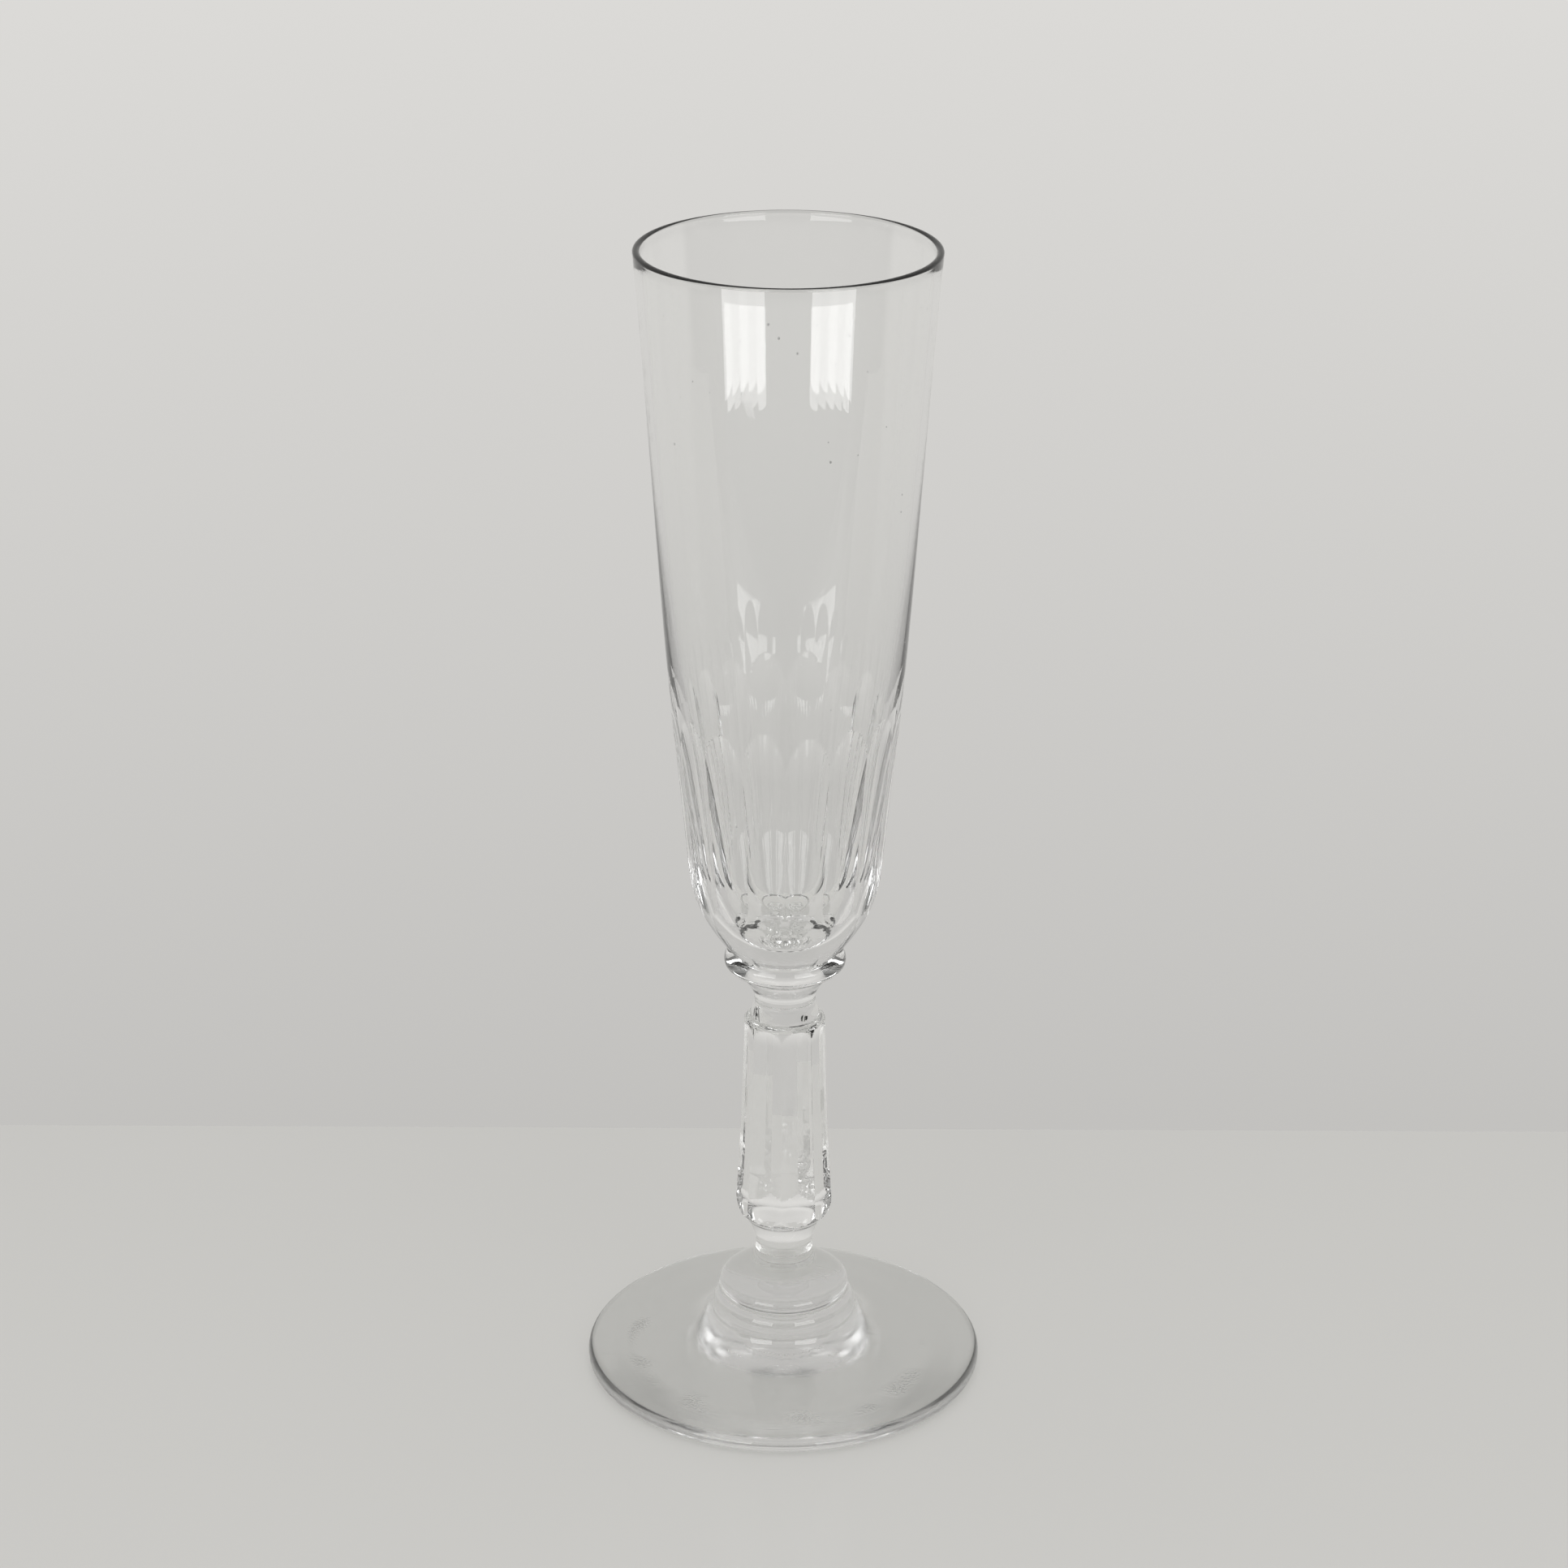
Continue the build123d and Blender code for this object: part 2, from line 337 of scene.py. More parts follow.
def bowl_collar_outline(sizes, stem):
    """A small cup with a lens-edged disc on it."""
    seam = STEM_TOP + sizes.cup_height
    edge = (WIDTH["bowl_collar"], MERESE_TOP - 0.43 * (MERESE_TOP - seam))
    groove = (sizes.cup_radius - sizes.groove, seam + 0.15 * MM)
    outline = [(0.0, STEM_TOP), (stem.bowl_neck, STEM_TOP)]
    outline += bend(outline[-1], (0.2, 1), (sizes.cup_radius, seam), (0.2, 1), 10)
    outline.append(groove)
    outline += bend(groove, (1, 0.5), edge, UP, 16)
    outline += bend(edge, UP, (sizes.joint_radius, MERESE_TOP), (-1, 0.8), 12)
    outline.append((0.0, MERESE_TOP))
    return outline


def rows(low, high, spacing):
    """Evenly spaced heights from low to high, without low."""
    count = max(1, round((high - low) / spacing))
    return [low + (high - low) * (number + 1) / count for number in range(count)]


def panel_levels(sizes):
    """Heights where the bowl's panels are at their full depth, and of their tops."""
    top = MERESE_TOP + sizes.panel_top
    return top - sizes.panel_entry, top


def bowl_outline(sizes):
    """The bowl's outline, and the points of it that are its outside, from the joint to the lip."""
    lip = RIM - sizes.lip_height
    edge = lip - HOLD
    throat = RIM - sizes.flare_length
    shoulder = MERESE_TOP + sizes.shoulder_height
    rim_radius = WIDTH["bowl"]
    throat_radius = rim_radius - sizes.rim_flare
    taper = throat_radius - sizes.shoulder_radius
    climb_low = (taper + 4 * sizes.side_bow, throat - shoulder)
    heel = (sizes.heel_radius, MERESE_TOP + sizes.heel_height)
    heel_way = (sizes.shoulder_radius - sizes.joint_radius, 0.85 * (shoulder - MERESE_TOP))
    outline = [(0.0, MERESE_TOP), (sizes.joint_radius, MERESE_TOP)]
    outline += bend(outline[-1], (0.9, 1), heel, heel_way, 14)
    outline += bend(heel, heel_way, (sizes.shoulder_radius, shoulder), climb_low, 28)
    middle = (sizes.shoulder_radius + taper / 2 + sizes.side_bow, (shoulder + throat) / 2)
    side = [outline[-1]] + bend(outline[-1], climb_low, middle, (SIDE_SLOPE, 1), SIDE_SAMPLES)
    side_top = (rim_radius - HAIR, edge)
    side += bend(middle, (SIDE_SLOPE, 1), side_top, (LIP_SLOPE, 1), SIDE_SAMPLES)
    full, top = panel_levels(sizes)
    levels = rows(shoulder, full, LOW_ROWS) + rows(full, top + ARCH_MARGIN, ARCH_ROWS)
    levels += rows(top + ARCH_MARGIN, edge, HIGH_ROWS)
    side_radii, side_heights = zip(*side)
    outline += [(float(np.interp(z, side_heights, side_radii)), z) for z in levels]
    outline.append((rim_radius, lip))
    outside = outline[1:]
    half = sizes.rim_wall / 2
    for step in range(1, 15):
        angle = math.pi * step / 14
        over = sizes.lip_height * math.sin(angle)
        outline.append((rim_radius - half + half * math.cos(angle), lip + over))
    outline.append((outline[-1][0] - HAIR, edge))
    inner_throat = (throat_radius - sizes.throat_wall + 0.2 * MM, throat)
    inner_shoulder = (sizes.shoulder_radius - sizes.shoulder_wall, shoulder)
    lip_foot = (outline[-1][0] - MOUTH_WIDENING, edge - MOUTH_HEIGHT)
    throat_way = (-INNER_THROAT_SLOPE, -1)
    shoulder_way = (-INNER_SHOULDER_SLOPE, -1)
    well = (0.0, MERESE_TOP + sizes.base_wall)
    outline += bend(outline[-1], (-INNER_LIP_SLOPE, -1), lip_foot, (-INNER_RIM_SLOPE, -1), 4)
    outline += bend(lip_foot, (-LIP_SLOPE, -1), inner_throat, throat_way, 8)
    outline += bend(inner_throat, throat_way, inner_shoulder, shoulder_way, 34)
    outline += bend(inner_shoulder, shoulder_way, well, (-1, 0), 24)
    return outline, outside


# ------------------------------------------------------------------ shaping


def deselect():
    bpy.ops.object.select_all(action="DESELECT")


def turn(name, outline, segments):
    """A closed mesh turned about the axis, raised ring by ring up its outline."""
    deselect()
    bpy.ops.mesh.primitive_circle_add(
        vertices=segments, radius=START_RADIUS, fill_type="TRIFAN", location=(0, 0, 0)
    )
    piece = bpy.context.object
    piece.name = piece.data.name = name
    bpy.ops.object.mode_set(mode="EDIT")
    bpy.ops.mesh.select_all(action="SELECT")
    bpy.ops.transform.translate(value=(0, 0, outline[0][1]))
    bpy.ops.mesh.select_all(action="DESELECT")
    bpy.ops.mesh.select_mode(type="EDGE")
    bpy.ops.mesh.select_non_manifold()
    radius, height = START_RADIUS, outline[0][1]
    for next_radius, next_height in outline[1:]:
        grow = max(next_radius, START_RADIUS) / radius
        rise = (0, 0, next_height - height)
        bpy.ops.mesh.extrude_region_move(TRANSFORM_OT_translate={"value": rise})
        bpy.ops.transform.resize(value=(grow, grow, 1), center_override=(0, 0, next_height))
        radius, height = radius * grow, next_height
    bpy.ops.mesh.merge(type="CENTER")
    bpy.ops.mesh.select_all(action="SELECT")
    bpy.ops.mesh.normals_make_consistent(inside=False)
    bpy.ops.object.mode_set(mode="OBJECT")
    return piece


def reshape(piece, rule):
    """Moves each vertex: the rule gets angles, radii and heights, and returns new ones."""
    places = np.empty(len(piece.data.vertices) * 3)
    piece.data.vertices.foreach_get("co", places)
    places = places.reshape(-1, 3)
    angles = np.arctan2(places[:, 1], places[:, 0])
    radii = np.hypot(places[:, 0], places[:, 1])
    angles, radii, heights = rule(angles, radii, places[:, 2])
    places = np.stack([radii * np.cos(angles), radii * np.sin(angles), heights], axis=1)
    piece.data.vertices.foreach_set("co", places.ravel())
    piece.data.update()


def align(angles, first, sides, columns):
    """Turns the columns so that one stands on each corner, and crowds them beside the corners."""
    step = 2 * math.pi / (sides * columns)
    index = np.round(angles / step).astype(int) % (sides * columns)
    side, place = index // columns, index % columns
    share = place / columns
    crowded = share - CROWDING * np.sin(2 * math.pi * share) / (2 * math.pi)
    return first + (side + crowded) * 2 * math.pi / sides


def flats(angles, apothems, faces, hollow=0.0):
    """Distance from the axis to the nearest of the cuts, which may be hollowed between their ridges."""
    gaps = angles[:, None] - np.asarray(faces)[None, :]
    away = np.cos(gaps)
    half = math.pi / len(faces)
    rise = hollow * 2 * (1 - away) / half**2
    return np.where(away > 0.3, apothems / np.maximum(away, 0.3) + rise, np.inf).min(axis=1)


def uneven(count, amount, seed):
    """Small differences between hand-made cuts."""
    dice = random.Random(seed)
    return np.array([dice.uniform(-amount, amount) for _ in range(count)])


def finish_shape(piece, angle=35):
    """Smooth shading that leaves edges sharp where the surface turns by more than angle."""
    deselect()
    piece.select_set(True)
    bpy.context.view_layer.objects.active = piece
    bpy.ops.object.shade_smooth_by_angle(angle=math.radians(angle))


def crisp(piece, low, high, angle):
    """Marks the edges of cuts sharp, between two heights, where the surface turns by angle or more."""
    deselect()
    bpy.context.view_layer.objects.active = piece
    bpy.ops.object.mode_set(mode="EDIT")
    bpy.ops.mesh.select_mode(type="EDGE")
    bpy.ops.mesh.select_all(action="DESELECT")
    bpy.ops.mesh.edges_select_sharp(sharpness=math.radians(angle))
    bpy.ops.object.mode_set(mode="OBJECT")
    points = piece.data.vertices
    for edge in piece.data.edges:
        if edge.select:
            middle = (points[edge.vertices[0]].co + points[edge.vertices[1]].co) / 2
            edge.select = low < middle.z < high
    bpy.ops.object.mode_set(mode="EDIT")
    bpy.ops.mesh.mark_sharp()
    bpy.ops.object.mode_set(mode="OBJECT")


def dress(piece, glass, joints):
    """Gives a piece its glass, and makes the flat faces at its fused joints pass light straight on."""
    piece.data.materials.append(glass)
    piece.data.materials.append(fused_joint())
    deselect()
    bpy.context.view_layer.objects.active = piece
    bpy.ops.object.mode_set(mode="EDIT")
    bpy.ops.mesh.select_mode(type="FACE")
    bpy.ops.mesh.select_all(action="DESELECT")
    bpy.ops.object.mode_set(mode="OBJECT")
    for face in piece.data.polygons:
        level = any(abs(face.center.z - joint) < HAIR for joint in joints)
        face.select = level and abs(face.normal.z) > 0.99
    piece.active_material_index = 1
    bpy.ops.object.mode_set(mode="EDIT")
    bpy.ops.object.material_slot_assign()
    bpy.ops.object.mode_set(mode="OBJECT")


def around(radius, angle, height):
    """A place at a radius and height, at angle degrees from the front."""
    turn_by = math.radians(angle)
    return (radius * math.sin(turn_by), -radius * math.cos(turn_by), height)


def blow_bubbles(name, bubbles):
    """One piece of small closed bubbles, each given as its centre, its size and its stretch."""
    deselect()
    made = []
    for centre, size, stretch in bubbles:
        bpy.ops.mesh.primitive_ico_sphere_add(
            subdivisions=2, radius=size, location=centre, scale=stretch
        )
        made.append(bpy.context.object)
    for bubble in made:
        bubble.select_set(True)
    bpy.ops.object.join()
    piece = bpy.context.object
    piece.name = piece.data.name = name
    bpy.ops.object.transform_apply(location=True, rotation=True, scale=True)
    piece.data.transform(piece.matrix_world)
    piece.matrix_world = Matrix.Identity(4)
    bpy.ops.object.shade_smooth()
    piece.data.materials.append(trapped_air())
    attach(piece, "root")


# ------------------------------------------------------------------ materials


def add_node(tree, kind, place, **settings):
    node = tree.nodes.new(kind)
    node.location = place
    for key, value in settings.items():
        if key in node.inputs:
            node.inputs[key].default_value = value
        else:
            setattr(node, key, value)
    return node


def new_material(name):
    material = bpy.data.materials.new(name)
    material.use_nodes = True
    material.node_tree.nodes.clear()
    return material, material.node_tree


def noise(tree, source, scale, stretch, place, detail=2.0):
    """A noise over the piece's own coordinates, stretched by stretch along x, y and z."""
    mapping = add_node(tree, "ShaderNodeMapping", (place[0] - 200, place[1]))
    mapping.inputs["Scale"].default_value = stretch
    texture = add_node(tree, "ShaderNodeTexNoise", place, Scale=scale, Detail=detail)
    tree.links.new(source.outputs["Object"], mapping.inputs["Vector"])
    tree.links.new(mapping.outputs["Vector"], texture.inputs["Vector"])
    return texture.outputs["Fac"]


def ranged(tree, value, low, high, to_low, to_high, place):
    node = add_node(tree, "ShaderNodeMapRange", place)
    for key, number in zip(("From Min", "From Max", "To Min", "To Max"), (low, high, to_low, to_high)):
        node.inputs[key].default_value = number
    tree.links.new(value, node.inputs["Value"])
    return node.outputs["Result"]


def combine(tree, operation, first, second, place):
    """A Math node on two values, each a socket or a number."""
    node = add_node(tree, "ShaderNodeMath", place, operation=operation)
    for socket, value in zip(node.inputs, (first, second)):
        if isinstance(value, float):
            socket.default_value = value
        else:
            tree.links.new(value, socket)
    return node.outputs["Value"]


def bump(tree, height, distance, before, place):
    node = add_node(tree, "ShaderNodeBump", place, Strength=1.0, Distance=distance)
    tree.links.new(height, node.inputs["Height"])
    if before:
        tree.links.new(before, node.inputs["Normal"])
    return node.outputs["Normal"]


def glass_material(name, tint, ripple, wear, underside=None):
    """Clear glass: slow ripples from the hot working, faint drawn streaks, scratches and smudges."""
    if name in bpy.data.materials:
        return bpy.data.materials[name]
    material, tree = new_material(name)
    here = add_node(tree, "ShaderNodeTexCoord", (-1400, 0))
    ripples = noise(tree, here, 70, (1, 1, 0.35), (-1000, 300), detail=1.0)
    streaks = noise(tree, here, 260, (1, 1, 0.03), (-1000, 50), detail=2.0)
    scratch = noise(tree, here, 900, (0.12, 1.6, 0.12), (-1000, -200), detail=3.0)
    smudge = noise(tree, here, 45, (1, 1, 1), (-1000, -450), detail=4.0)
    scratches = ranged(tree, scratch, 0.66, 0.74, 0.0, 1.0, (-700, -200))
    normal = bump(tree, ripples, ripple, None, (-500, 300))
    normal = bump(tree, streaks, ripple * 0.02, normal, (-350, 200))
    normal = bump(tree, scratches, wear * 0.004 * MM, normal, (-200, 100))
    haze = ranged(tree, smudge, 0.45, 0.8, 0.0, 0.02 + 0.05 * wear, (-700, -450))
    rough = add_node(tree, "ShaderNodeMath", (-400, -350), operation="MULTIPLY_ADD")
    rough.inputs[1].default_value = 0.12 * wear
    tree.links.new(scratches, rough.inputs[0])
    tree.links.new(haze, rough.inputs[2])
    rough = rough.outputs["Value"]
    if underside:
        rough, normal = scuffed(tree, here, rough, normal, underside)
    shader = add_node(tree, "ShaderNodeBsdfPrincipled", (0, 0), IOR=GLASS_IOR)
    shader.inputs["Base Color"].default_value = (*tint, 1.0)
    shader.inputs["Transmission Weight"].default_value = 1.0
    tree.links.new(rough, shader.inputs["Roughness"])
    tree.links.new(normal, shader.inputs["Normal"])
    finish_glass(tree, shader, tint)
    return material


def scuffed(tree, here, rough, normal, underside):
    """Scuffs the underside lightly all over, and frosts it in patches round the ring that it stands on."""
    ring, height = underside
    parts = add_node(tree, "ShaderNodeSeparateXYZ", (-1200, -700))
    tree.links.new(here.outputs["Object"], parts.inputs["Vector"])
    flat = add_node(tree, "ShaderNodeCombineXYZ", (-1050, -700))
    tree.links.new(parts.outputs["X"], flat.inputs["X"])
    tree.links.new(parts.outputs["Y"], flat.inputs["Y"])
    radius = add_node(tree, "ShaderNodeVectorMath", (-900, -700), operation="LENGTH")
    tree.links.new(flat.outputs["Vector"], radius.inputs[0])
    below = ranged(tree, parts.outputs["Z"], height, height * 0.8, 0.0, 1.0, (-900, -900))
    inside = ranged(tree, radius.outputs["Value"], ring + 5 * MM, ring + 4 * MM, 0.0, 1.0, (-700, -800))
    under = combine(tree, "MULTIPLY", below, inside, (-500, -850))
    away = combine(tree, "SUBTRACT", radius.outputs["Value"], ring, (-700, -650))
    away = combine(tree, "ABSOLUTE", away, 0.0, (-550, -650))
    band = ranged(tree, away, 0.4 * MM, 2.4 * MM, 1.0, 0.0, (-400, -650))
    patches = noise(tree, here, 85, (1, 1, 1), (-700, -1050), detail=1.0)
    patches = ranged(tree, patches, 0.48, 0.66, 0.0, 1.0, (-500, -1050))
    grain = noise(tree, here, 2200, (1, 1, 1), (-700, -1250), detail=3.0)
    worn = combine(tree, "MULTIPLY", band, patches, (-250, -750))
    worn = combine(tree, "MULTIPLY", worn, under, (-100, -800))
    grit = combine(tree, "MULTIPLY", worn, grain, (50, -1000))
    normal = bump(tree, grit, 0.2 * MM, normal, (150, -400))
    rough = combine(tree, "MAXIMUM", rough, combine(tree, "MULTIPLY", under, 0.16, (-100, -600)), (0, -500))
    frosted = combine(tree, "MULTIPLY", grit, 0.9, (100, -700))
    return combine(tree, "MAXIMUM", rough, frosted, (200, -600)), normal


def finish_glass(tree, shader, tint):
    """Lets lamps and the table's soft light through glass, a little dimmed, for a pale shadow."""
    path = add_node(tree, "ShaderNodeLightPath", (0, 400))
    either = add_node(tree, "ShaderNodeMath", (200, 350), operation="MAXIMUM")
    clear = add_node(tree, "ShaderNodeBsdfTransparent", (0, -700))
    clear.inputs["Color"].default_value = (*[SHADOW_CLEARNESS * part for part in tint], 1.0)
    mix = add_node(tree, "ShaderNodeMixShader", (400, 0))
    output = add_node(tree, "ShaderNodeOutputMaterial", (600, 0))
    tree.links.new(path.outputs["Is Shadow Ray"], either.inputs[0])
    tree.links.new(path.outputs["Is Diffuse Ray"], either.inputs[1])
    tree.links.new(either.outputs["Value"], mix.inputs["Fac"])
    tree.links.new(shader.outputs["BSDF"], mix.inputs[1])
    tree.links.new(clear.outputs["BSDF"], mix.inputs[2])
    tree.links.new(mix.outputs["Shader"], output.inputs["Surface"])


def fused_joint():
    """The inside of a fused joint, where light passes straight from one gather into the next."""
    name = "fused_joint"
    if name in bpy.data.materials:
        return bpy.data.materials[name]
    material, tree = new_material(name)
    clear = add_node(tree, "ShaderNodeBsdfTransparent", (0, 0))
    output = add_node(tree, "ShaderNodeOutputMaterial", (300, 0))
    tree.links.new(clear.outputs["BSDF"], output.inputs["Surface"])
    return material


def bowl_glass(looks):
    return glass_material("bowl_clear_glass", looks.glass, 0.008 * MM, 0.5)


def stem_glass(looks):
    return glass_material("stem_clear_glass", looks.glass, 0.010 * MM, 0.5)


def collar_glass(looks):
    return glass_material("collar_clear_glass", looks.glass, 0.020 * MM, 0.7)


def foot_glass(looks, sizes):
    ring = WIDTH["foot"] - sizes.edge / 2 - sizes.ring_width
    return glass_material("foot_clear_glass", looks.glass, 0.012 * MM, 1.0, (ring, WORN_HEIGHT))


def trapped_air():
    """The skin of a bubble, seen from inside the glass around it."""
    name = "trapped_air"
    if name in bpy.data.materials:
        return bpy.data.materials[name]
    material, tree = new_material(name)
    here = add_node(tree, "ShaderNodeTexCoord", (-800, 0))
    ripple = bump(tree, noise(tree, here, 3000, (1, 1, 1), (-500, 0)), 0.004 * MM, None, (-250, 0))
    shader = add_node(tree, "ShaderNodeBsdfPrincipled", (0, 0), IOR=AIR_IN_GLASS_IOR, Roughness=0.01)
    shader.inputs["Base Color"].default_value = (1.0, 1.0, 1.0, 1.0)
    shader.inputs["Transmission Weight"].default_value = 1.0
    tree.links.new(ripple, shader.inputs["Normal"])
    finish_glass(tree, shader, (1.0, 1.0, 1.0))
    return material


# ------------------------------------------------------------------ operators


def settle(piece, node, glass, joints):
    """Material, body, slot and node of a finished piece."""
    dress(piece, glass, joints)
    finish_shape(piece)
    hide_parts(node)
    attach(piece, "root")


class FLUTE_OT_foot(bpy.types.Operator):
    """Turn the foot with its stepped boss"""

    bl_idname = "flute.foot"
    bl_label = "Foot"

    def execute(self, context):
        scene = context.scene
        piece = turn("foot_disc", foot_outline(scene.flute_foot), ROUND_SEGMENTS)
        glass = foot_glass(scene.flute_looks, scene.flute_foot)
        settle(piece, "foot", glass, (FOOT_TOP,))
        return {"FINISHED"}


class FLUTE_OT_foot_collar(bpy.types.Operator):
    """Turn the flattened bead between foot and stem"""

    bl_idname = "flute.foot_collar"
    bl_label = "Foot collar"

    def execute(self, context):
        scene = context.scene
        outline = foot_collar_outline(scene.flute_foot, scene.flute_stem)
        piece = turn("foot_bead", outline, ROUND_SEGMENTS)
        joints = (FOOT_TOP, COLLAR_TOP)
        settle(piece, "foot_collar", collar_glass(scene.flute_looks), joints)
        return {"FINISHED"}


class FLUTE_OT_stem(bpy.types.Operator):
    """Turn the stem and cut its facets"""

    bl_idname = "flute.stem"
    bl_label = "Stem"

    def execute(self, context):
        scene = context.scene
        sizes = scene.flute_stem
        piece = turn("stem_baluster", stem_outline(sizes), sizes.sides * CUT_COLUMNS)
        ledge, knop, taper_top, _ = stem_levels(sizes)
        step = 2 * math.pi / sizes.sides
        depths = uneven(sizes.sides, 0.04 * MM, 5)
        corner = -math.pi / 2 + sizes.turn
        faces = corner + step * (np.arange(sizes.sides) + 0.5)
        flat = math.cos(math.pi / sizes.sides)
        arch_start = taper_top - sizes.arch
        arch_end = taper_top + 0.3 * MM

        def cut(angles, radii, heights):
            share = np.clip((heights - knop) / (taper_top - knop), 0, 1)
            blank = sizes.knop_radius + (sizes.top_radius - sizes.knop_radius) * share
            blank -= 4 * sizes.sag * share * (1 - share)
            lift = np.clip((heights - arch_start) / (arch_end - arch_start), 0, 2)
            face = (blank - 0.05 * MM) * flat + (1 - flat) * sizes.top_radius * lift**2
            outer = (heights > ledge - 0.5 * MM) & (heights < arch_end) & (radii > 0.6 * MM)
            new = np.minimum(radii, flats(angles, face[:, None] - depths[None, :], faces))
            return angles, np.where(outer, new, radii), heights

        first = corner % (2 * math.pi)
        reshape(piece, lambda a, r, z: (align(a, first, sizes.sides, CUT_COLUMNS), r, z))
        reshape(piece, cut)
        joints = (COLLAR_TOP, STEM_TOP)
        settle(piece, "stem", stem_glass(scene.flute_looks), joints)
        crisp(piece, ledge + 0.8 * MM, arch_end + 0.5 * MM, 7)
        return {"FINISHED"}


class FLUTE_OT_bowl_collar(bpy.types.Operator):
    """Turn the lens-edged disc and the cup under the bowl"""

    bl_idname = "flute.bowl_collar"
    bl_label = "Bowl collar"

    def execute(self, context):
        scene = context.scene
        outline = bowl_collar_outline(scene.flute_bowl, scene.flute_stem)
        piece = turn("bowl_merese", outline, ROUND_SEGMENTS)
        joints = (STEM_TOP, MERESE_TOP)
        settle(piece, "bowl_collar", collar_glass(scene.flute_looks), joints)
        return {"FINISHED"}


class FLUTE_OT_bowl(bpy.types.Operator):
    """Turn the bowl and cut its panels"""

    bl_idname = "flute.bowl"
    bl_label = "Bowl"

    def execute(self, context):
        scene = context.scene
        sizes = scene.flute_bowl
        outline, outside = bowl_outline(sizes)
        piece = turn("bowl_cup", outline, sizes.panels * CUT_COLUMNS)
        outside_heights = [z for _, z in outside]
        outside_radii = [r for r, _ in outside]
        step = 2 * math.pi / sizes.panels
        depths = sizes.panel_depth + uneven(sizes.panels, 0.05 * MM, 11)
        tops = MERESE_TOP + sizes.panel_top + uneven(sizes.panels, 1.0 * MM, 12)
        corner = -math.pi / 2
        faces = corner + step * (np.arange(sizes.panels) + 0.5)
        shoulder = MERESE_TOP + sizes.shoulder_height
        full, _ = panel_levels(sizes)
        full_radius = np.interp(full, outside_heights, outside_radii)
        slope = (full_radius - sizes.shoulder_radius) / (full - shoulder)

        def cut(angles, radii, heights):
            side = np.interp(heights, outside_heights, outside_radii)
            straight = sizes.shoulder_radius + slope * (heights - shoulder)
            entry = (heights[:, None] - full) / (tops[None, :] - full)
            entry = np.clip(entry, 0, 3)
            base = np.where(heights < full, straight, side)
            face = base[:, None] - (depths + sizes.panel_hollow)[None, :] * (1 - entry**2)
            outer = (radii > side - 0.05 * MM) & (heights > MERESE_TOP + 1 * MM)
            outer &= heights < tops.max() + 5 * MM
            new = np.minimum(radii, flats(angles, face, faces, sizes.panel_hollow))
            return angles, np.where(outer, new, radii), heights

        first = corner % (2 * math.pi)
        reshape(piece, lambda a, r, z: (align(a, first, sizes.panels, CUT_COLUMNS), r, z))
        reshape(piece, cut)
        settle(piece, "bowl", bowl_glass(scene.flute_looks), (MERESE_TOP,))
        crisp(piece, MERESE_TOP + 4 * MM, tops.max() + 1 * MM, 2.4)
        return {"FINISHED"}


class FLUTE_OT_foot_bubbles(bpy.types.Operator):
    """Trap bubbles over the pontil mark and in the fold of the boss"""

    bl_idname = "flute.foot_bubbles"
    bl_label = "Foot bubbles"

    def execute(self, context):
        sizes = context.scene.flute_foot
        dice = random.Random(31)
        bubbles = []
        height = BASE + sizes.hollow + 0.75 * MM
        ring_count, ring_reach = 26, 62
        for number in range(ring_count):
            angle = -ring_reach + 2 * ring_reach * number / (ring_count - 1) + dice.uniform(-2, 2)
            size = dice.uniform(0.10, 0.26) * MM
            place = around(sizes.pontil_radius + dice.uniform(-0.3, 0.3) * MM, angle, height)
            bubbles.append((place, size, (1.0 + dice.random(), 1.0, 0.8)))
        fold_radius, fold_middles, fold_count = 10.4, (-47, 49), 9
        for middle in fold_middles:
            for _ in range(fold_count):
                place = around(
                    (fold_radius + dice.uniform(-0.5, 0.5)) * MM,
                    middle + dice.uniform(-9, 9),
                    height + dice.uniform(0.2, 1.2) * MM,
                )
                bubbles.append((place, dice.uniform(0.08, 0.2) * MM, (1.3, 1.0, 0.8)))
        blow_bubbles("foot_bubbles", bubbles)
        return {"FINISHED"}


class FLUTE_OT_joint_bubbles(bpy.types.Operator):
    """Trap a few bubbles where the bowl is stuck to its collar"""

    bl_idname = "flute.joint_bubbles"
    bl_label = "Joint bubbles"

    def execute(self, context):
        dice = random.Random(17)
        bubbles = []
        count, height = 5, MERESE_TOP - 0.9 * MM
        for number in range(count):
            place = around(dice.uniform(0.3, 1.8) * MM, 360 * number / count, height)
            bubbles.append((place, dice.uniform(0.06, 0.14) * MM, (1.2, 1.2, 0.7)))
        blow_bubbles("joint_bubbles", bubbles)
        return {"FINISHED"}


class FLUTE_OT_bowl_seeds(bpy.types.Operator):
    """Trap fine seeds in the wall of the bowl"""

    bl_idname = "flute.bowl_seeds"
    bl_label = "Bowl seeds"

    def execute(self, context):
        _, outside = bowl_outline(context.scene.flute_bowl)
        radii, heights = zip(*outside)
        high_seeds, low_seeds = (0.158, 0.188), (0.098, 0.158)
        high_share, high_depth, low_depth = 0.7, 0.6 * MM, 1.0 * MM
        dice = random.Random(23)
        bubbles = []
        for _ in range(34):
            high = dice.random() < high_share
            height = dice.uniform(*(high_seeds if high else low_seeds))
            radius = float(np.interp(height, heights, radii)) - (high_depth if high else low_depth)
            size = dice.choice((0.06, 0.08, 0.1, 0.15)) * MM
            bubbles.append((around(radius, dice.uniform(-180, 180), height), size, (1, 1, 1.4)))
        blow_bubbles("bowl_seeds", bubbles)
        return {"FINISHED"}


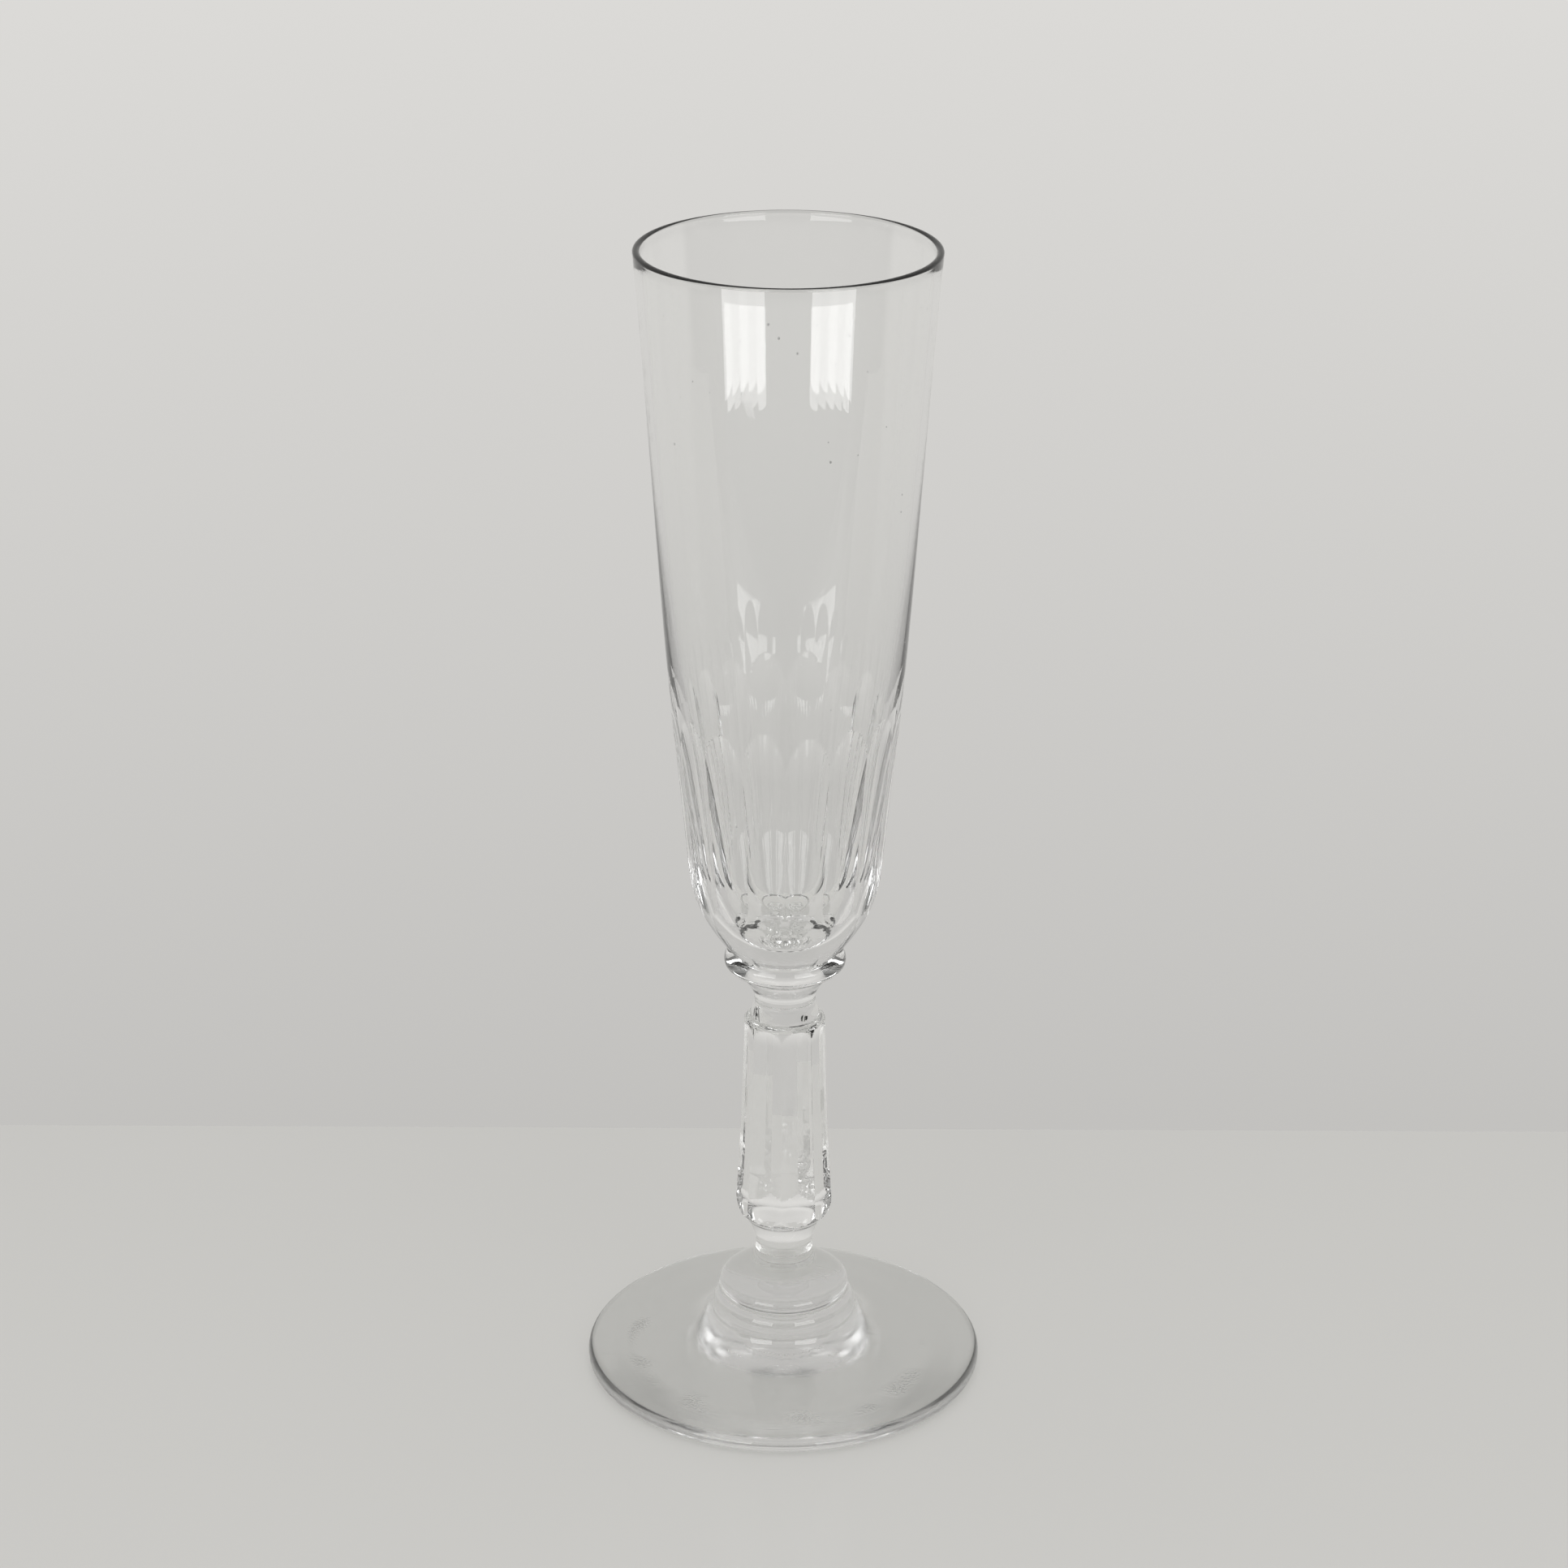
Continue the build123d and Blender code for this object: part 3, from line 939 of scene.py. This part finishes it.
class FLUTE_OT_stage(bpy.types.Operator):
    """Set the table, the windows, the soft light and the camera"""

    bl_idname = "flute.stage"
    bl_label = "Stage"

    def execute(self, context):
        looks = context.scene.flute_looks
        lay_table(looks)
        hang_windows(looks)
        hang_soft_light(looks)
        light_room(looks)
        place_camera()
        context.scene.view_settings.view_transform = "Standard"
        paths = context.scene.cycles
        paths.max_bounces = paths.transmission_bounces = LIGHT_BOUNCES
        paths.glossy_bounces = GLOSSY_BOUNCES
        paths.transparent_max_bounces = TRANSPARENT_BOUNCES
        return {"FINISHED"}


# ------------------------------------------------------------------ stage


def lay_table(looks):
    back, front, half_width, thickness = 0.0835, -0.25, 0.9, 0.03
    deselect()
    bpy.ops.mesh.primitive_cube_add(
        size=1,
        location=(0, (back + front) / 2, BASE - TABLE_GAP - thickness / 2),
        scale=(2 * half_width, back - front, thickness),
    )
    table = bpy.context.object
    table.name = "table"
    material, tree = new_material("table_stone")
    here = add_node(tree, "ShaderNodeTexCoord", (-900, 0))
    cloud = noise(tree, here, 6, (1, 1, 1), (-500, 0), detail=5.0)
    shade = add_node(tree, "ShaderNodeMix", (-200, 0), data_type="RGBA")
    for socket, shift in ((MIX_COLOR_A, -TABLE_MOTTLE), (MIX_COLOR_B, TABLE_MOTTLE)):
        shade.inputs[socket].default_value = (*[(1 + shift) * part for part in looks.table], 1.0)
    shader = add_node(tree, "ShaderNodeBsdfPrincipled", (100, 0), Roughness=0.28)
    output = add_node(tree, "ShaderNodeOutputMaterial", (400, 0))
    tree.links.new(cloud, shade.inputs["Factor"])
    tree.links.new(shade.outputs[MIX_COLOR_RESULT], shader.inputs["Base Color"])
    tree.links.new(shader.outputs["BSDF"], output.inputs["Surface"])
    table.data.materials.append(material)


def hang_lamp(name, azimuth, breadth, low, high, brightness):
    """A soft lamp that faces the flute from azimuth, both angles in degrees, the front being 0."""
    middle = math.radians(azimuth)
    width = 2 * LAMP_DISTANCE * math.tan(math.radians(breadth) / 2)
    place = (LAMP_DISTANCE * math.sin(middle), -LAMP_DISTANCE * math.cos(middle), (low + high) / 2)
    bpy.ops.object.light_add(type="AREA", location=place, rotation=(math.pi / 2, 0, middle))
    lamp = bpy.context.object
    lamp.name = name
    lamp.data.shape = "RECTANGLE"
    lamp.data.size = width
    lamp.data.size_y = high - low
    lamp.data.energy = brightness * math.pi * width * (high - low)
    lamp.visible_camera = False


def hang_windows(looks):
    """Two windows, and under each a streaked glow from in front of the table and below its top."""
    for name, start, end in WINDOWS:
        middle = (start + end) / 2
        hang_lamp("window_" + name, middle, end - start, WINDOW_SILL, WINDOW_HEAD, looks.window)
        wide = (end - start) / len(GLOW_STRIPS)
        for number, strip in enumerate(GLOW_STRIPS):
            middle = start + (number + 0.5) * wide
            glow = looks.window * looks.glow * strip
            low = GLOW_LOW + 0.0005 * (abs(middle) - 20)
            hang_lamp(f"glow_{name}_{number}", middle, wide, low, GLOW_HIGH, glow)


def hang_soft_light(looks):
    """A broad soft light over the table, which neither reflections nor the glass show."""
    deselect()
    bpy.ops.object.light_add(type="AREA", location=(0, -0.2, 1.3))
    lamp = bpy.context.object
    lamp.name = "soft_light"
    lamp.data.size = 1.6
    lamp.data.energy = looks.soft_light
    lamp.visible_camera = lamp.visible_glossy = lamp.visible_transmission = False


def light_room(looks):
    """A pale wall behind the flute, and in front a pale floor, a dim room and a grey ceiling."""
    world = bpy.data.worlds.new("room")
    bpy.context.scene.world = world
    world.use_nodes = True
    tree = world.node_tree
    tree.nodes.clear()
    way = add_node(tree, "ShaderNodeTexCoord", (-900, 0))
    parts = add_node(tree, "ShaderNodeSeparateXYZ", (-700, 0))
    tree.links.new(way.outputs["Generated"], parts.inputs["Vector"])
    wall = ranged(tree, parts.outputs["Y"], -0.06, 0.06, 0.0, 1.0, (-500, 100))
    near = ranged(tree, parts.outputs["Z"], -0.47, -0.18, 0.74, 1.0, (-500, -200))
    fade = ranged(tree, parts.outputs["Z"], -0.10, 0.25, 1.0, looks.wall_top, (-500, -400))
    height = combine(tree, "MULTIPLY", near, fade, (-300, -300))
    rise = ranged(tree, parts.outputs["Z"], -1.0, 1.0, 0.0, 1.0, (-700, 400))
    front = add_node(tree, "ShaderNodeValToRGB", (-500, 400))
    stops = ((0.31, looks.floor), (0.38, looks.room), (0.62, looks.room), (0.74, looks.ceiling))
    for number, (place, light) in enumerate(stops):
        stop = front.color_ramp.elements[number] if number < 2 else front.color_ramp.elements.new(place)
        stop.position = place
        stop.color = (light, light, 0.98 * light, 1.0)
    room = add_node(tree, "ShaderNodeMix", (-250, 100), data_type="RGBA")
    room.inputs[MIX_COLOR_B].default_value = (*looks.wall, 1.0)
    light = add_node(tree, "ShaderNodeBackground", (0, 0))
    output = add_node(tree, "ShaderNodeOutputWorld", (200, 0))
    tree.links.new(rise, front.inputs["Fac"])
    tree.links.new(front.outputs["Color"], room.inputs[MIX_COLOR_A])
    tree.links.new(wall, room.inputs["Factor"])
    tree.links.new(room.outputs[MIX_COLOR_RESULT], light.inputs["Color"])
    tree.links.new(height, light.inputs["Strength"])
    tree.links.new(light.outputs["Background"], output.inputs["Surface"])


def place_camera():
    """The camera, a little above the rim and looking down on the flute."""
    pitch, roll = math.radians(CAMERA_PITCH), math.radians(CAMERA_ROLL)
    bpy.ops.object.camera_add(location=(0, 0, 0))
    camera = bpy.context.object
    camera.name = "camera"
    camera.matrix_world = (
        Matrix.Translation(CAMERA_PLACE)
        @ Matrix.Rotation(pitch, 4, "X")
        @ Matrix.Rotation(roll, 4, "Z")
    )
    camera.data.sensor_width = CAMERA_SENSOR
    camera.data.lens = CAMERA_LENS
    bpy.context.scene.camera = camera


# ------------------------------------------------------------------ panel and registration


OPERATORS = (
    FLUTE_OT_foot,
    FLUTE_OT_foot_collar,
    FLUTE_OT_stem,
    FLUTE_OT_bowl_collar,
    FLUTE_OT_bowl,
    FLUTE_OT_foot_bubbles,
    FLUTE_OT_joint_bubbles,
    FLUTE_OT_bowl_seeds,
    FLUTE_OT_stage,
)


class FLUTE_PT_panel(bpy.types.Panel):
    bl_label = "Champagne Flute"
    bl_idname = "FLUTE_PT_panel"
    bl_space_type = "VIEW_3D"
    bl_region_type = "UI"
    bl_category = "Flute"

    def draw(self, context):
        for operator in OPERATORS:
            self.layout.operator(operator.bl_idname)


GROUPS = {
    "flute_foot": FluteFootSizes,
    "flute_stem": FluteStemSizes,
    "flute_bowl": FluteBowlSizes,
    "flute_looks": FluteLooks,
}


def register():
    for group in (*GROUPS.values(), *OPERATORS, FLUTE_PT_panel):
        bpy.utils.register_class(group)
    for name, group in GROUPS.items():
        setattr(bpy.types.Scene, name, PointerProperty(type=group))


def unregister():
    for name in GROUPS:
        delattr(bpy.types.Scene, name)
    for group in (FLUTE_PT_panel, *OPERATORS, *GROUPS.values()):
        bpy.utils.unregister_class(group)


def main():
    register()
    for operator in OPERATORS:
        family, action = operator.bl_idname.split(".")
        getattr(getattr(bpy.ops, family), action)()


if __name__ == "__main__":
    main()
